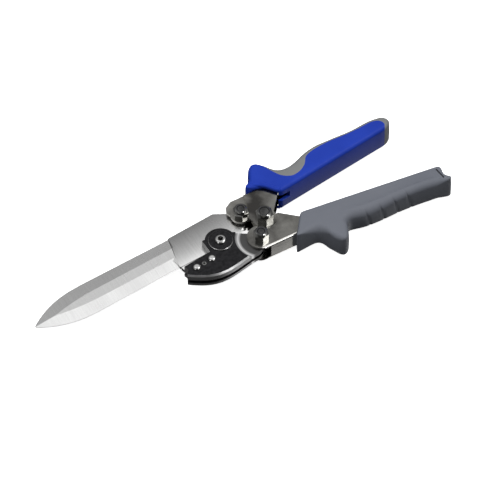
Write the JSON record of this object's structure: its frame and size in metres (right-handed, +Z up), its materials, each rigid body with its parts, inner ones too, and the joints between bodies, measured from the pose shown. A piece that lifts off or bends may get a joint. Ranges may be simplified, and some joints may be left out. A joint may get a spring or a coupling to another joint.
{
  "type": "compound-action knife shear",
  "caption": "Hand cutter with a long double-edged knife blade, a short black wire-cutting jaw and two moulded handles joined by a compound linkage.",
  "frame": {"origin": "middle of the tool's footprint, on the surface that it lies on", "axes": "+X from the blade's tip to the ends of the handles, +Y to the upper handle, +Z up along every pivot"},
  "size_m": [0.3526, 0.1008, 0.0286],
  "materials": {
    "plated_steel": "nickel-plated stamped sheet steel",
    "ground_steel": "ground and polished steel",
    "black_oxide": "black oxide, satin, with bright worn edges",
    "bright_fasteners": "bright zinc or nickel plating",
    "nylon_rings": "nylon",
    "blue_moulding": "satin moulded plastic",
    "grey_moulding": "soft-touch moulded grip",
    "soft_grey_cover": "soft overmoulded elastomer"
  },
  "bodies": {
    "lower_handle": {"lower_handle_channel": "plated_steel", "lower_grip": "grey_moulding", "handle_pivot_bolt": "bright_fasteners", "handle_pivot_nut": "bright_fasteners", "handle_pivot_nut_nylon_ring": "nylon_rings", "handle_pivot_sleeve": "ground_steel", "lower_link_bolt": "bright_fasteners", "lower_link_nut": "bright_fasteners", "lower_link_nut_nylon_ring": "nylon_rings"},
    "upper_handle": {"upper_handle_channel": "plated_steel", "upper_grip": "blue_moulding", "upper_grip_soft_cover": "soft_grey_cover", "upper_link_bolt": "bright_fasteners", "upper_link_nut": "bright_fasteners", "upper_link_nut_nylon_ring": "nylon_rings", "upper_link_spacers": "ground_steel"},
    "jaw": {"jaw_front_plate": "black_oxide", "jaw_back_plate": "black_oxide", "jaw_cutter_insert": "ground_steel", "jaw_rivets": "bright_fasteners", "jaw_locating_pin": "ground_steel", "main_pivot_washer": "black_oxide", "main_pivot_bolt": "bright_fasteners", "main_pivot_nut": "bright_fasteners", "lower_link_spacer": "ground_steel"},
    "blade": {"knife_blade": "ground_steel"}
  },
  "joints": [
    {"name": "handle_opening", "type": "hinge", "parent": "lower_handle", "child": "upper_handle", "pos_m": [0.02849, 0.00113, 0.012], "axis": [0, 0, 1], "range_deg": [0, 36]},
    {"name": "jaw_swing", "type": "hinge", "parent": "lower_handle", "child": "jaw", "pos_m": [0.0167, -0.01412, 0.012], "axis": [0, 0, 1], "range_deg": [0, 28]},
    {"name": "blade_swing", "type": "hinge", "parent": "jaw", "child": "blade", "pos_m": [-0.01243, -0.00137, 0.012], "axis": [0, 0, 1], "range_deg": [-19, 0]}
  ],
  "couplings": [
    {"joint": "jaw_swing", "follows": "handle_opening", "ratio": 0.7475},
    {"joint": "blade_swing", "follows": "handle_opening", "ratio": -0.495}
  ]
}
